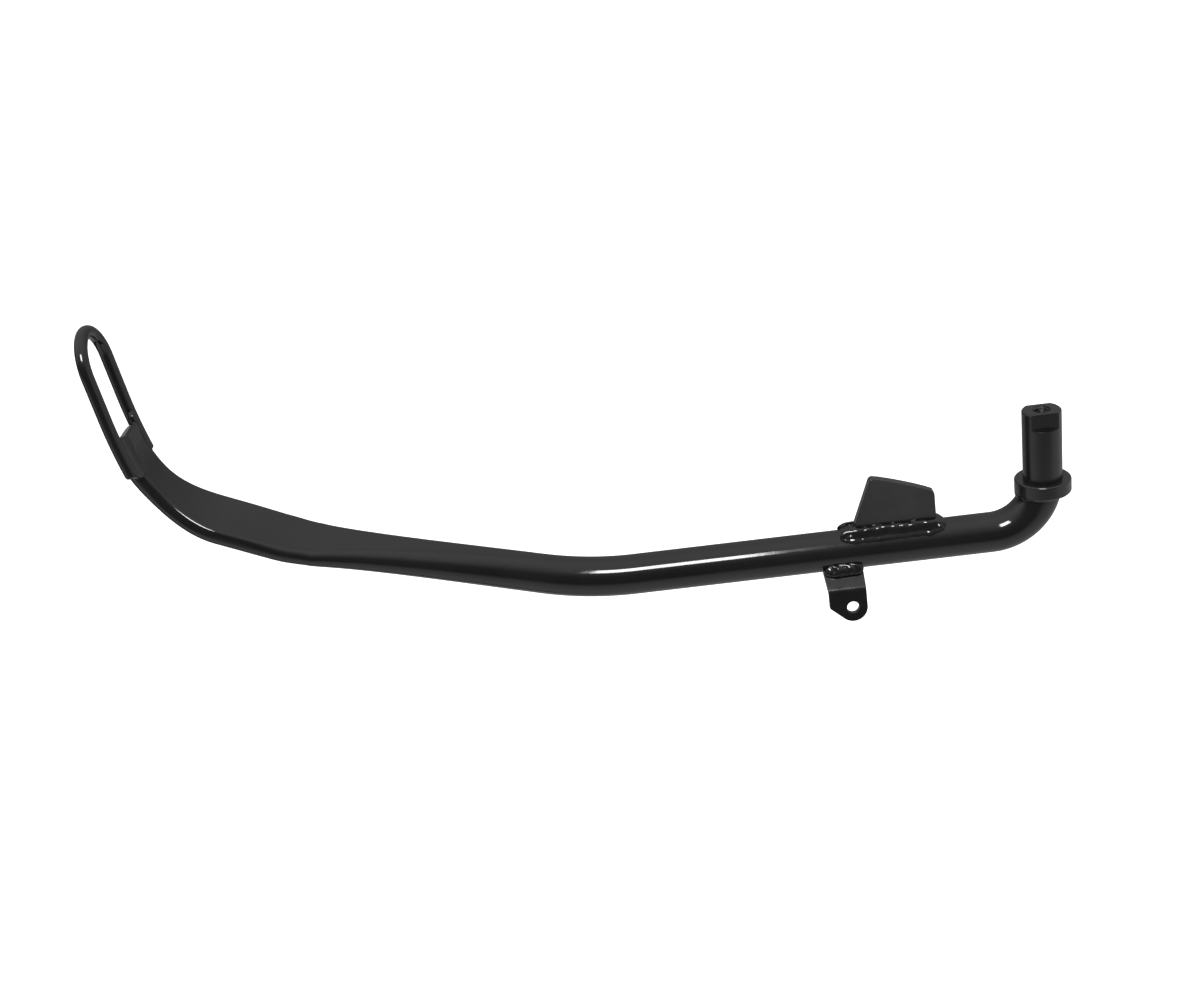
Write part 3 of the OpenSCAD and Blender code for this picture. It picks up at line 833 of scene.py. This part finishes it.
room = nt.nodes.new("ShaderNodeBackground")
nt.links.new(mix_color(nt, wall, sky, grey(WALL_GREY)), room.inputs["Color"])
nt.links.new(math_node(nt, "MAXIMUM", beside, above), room.inputs["Strength"])

# The backdrop itself is plain white.
backdrop = nt.nodes.new("ShaderNodeBackground")
backdrop.inputs["Color"].default_value = WHITE
choose = nt.nodes.new("ShaderNodeMixShader")
nt.links.new(nt.nodes.new("ShaderNodeLightPath").outputs["Is Camera Ray"], choose.inputs[0])
nt.links.new(room.outputs[0], choose.inputs[1])
nt.links.new(backdrop.outputs[0], choose.inputs[2])
nt.links.new(choose.outputs[0], nt.nodes.new("ShaderNodeOutputWorld").inputs["Surface"])


# ---- Light and camera ----
def stand(ob, x, y, z, at):
    """Sets an object down at a point, with its own axes along x, y and z."""
    ob.matrix_world = Matrix(((x.x, y.x, z.x, at.x), (x.y, y.y, z.y, at.y), (x.z, y.z, z.z, at.z),
                              (0, 0, 0, 1)))


# The key light: a soft box over the front, placed in metres
KEY_AT, KEY_AIM = Vector((-0.303, -1.007, 1.263)), Vector((-0.12, 0, -0.02))
key = bpy.data.lights.new("key", "AREA")
key.shape = "RECTANGLE"
key.size, key.size_y = 0.54, 0.45
key.energy = 22.0
key_z = (KEY_AT - KEY_AIM).normalized()
key_y = key_z.cross(Vector((1, 0, 0))).normalized()
stand(place("key", key), key_y.cross(key_z).normalized(), key_y, key_z, KEY_AT)

# The camera stands in front and above, turned and rolled a little, placed in millimetres.
CAMERA_AT = Vector((-178.55, -720.63, 336.18))
DOWN, TURN, ROLL = rad(23.79), rad(-2.18), rad(7.69)
SENSOR, LENS = 36.0, 51.256
fwd = Vector((math.sin(TURN) * math.cos(DOWN), math.cos(TURN) * math.cos(DOWN), -math.sin(DOWN)))
level = Vector((math.cos(TURN), -math.sin(TURN), 0))
upright = level.cross(fwd)
right = level * math.cos(ROLL) - upright * math.sin(ROLL)
up = level * math.sin(ROLL) + upright * math.cos(ROLL)
cam = bpy.data.cameras.new("camera")
cam.sensor_width = SENSOR
cam.lens = LENS
cam.clip_start = 0.01
camera = place("camera", cam)
stand(camera, right, up, -fwd, CAMERA_AT * MM)
bpy.context.scene.camera = camera
bpy.context.scene.view_settings.view_transform = "Standard"
